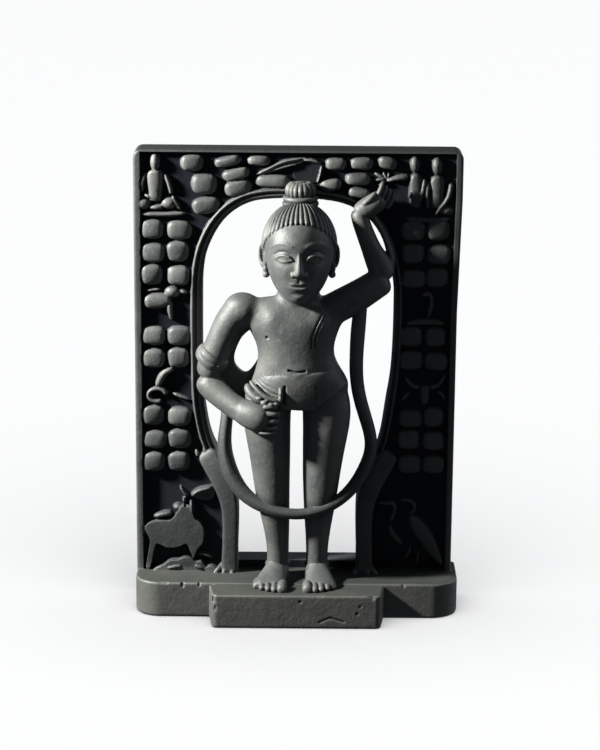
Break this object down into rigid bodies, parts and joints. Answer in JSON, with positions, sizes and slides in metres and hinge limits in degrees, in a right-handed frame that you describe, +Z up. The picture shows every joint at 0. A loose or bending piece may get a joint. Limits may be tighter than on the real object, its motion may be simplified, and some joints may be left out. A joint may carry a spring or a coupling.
{
  "type": "shreenathji idol",
  "caption": "Small one-piece shrine idol: a youth with one raised arm and a looping stole stands in a pierced arch before a slab of boulders and low reliefs, on a stepped base.",
  "frame": {"origin": "middle of the base's underside", "axes": "+Z up, the figure looks along -Y, +X towards its raised arm"},
  "size_m": [0.158, 0.051, 0.229],
  "materials": {
    "black_stone": "satin"
  },
  "bodies": {
    "root": {"idol": "black_stone"}
  },
  "joints": []
}
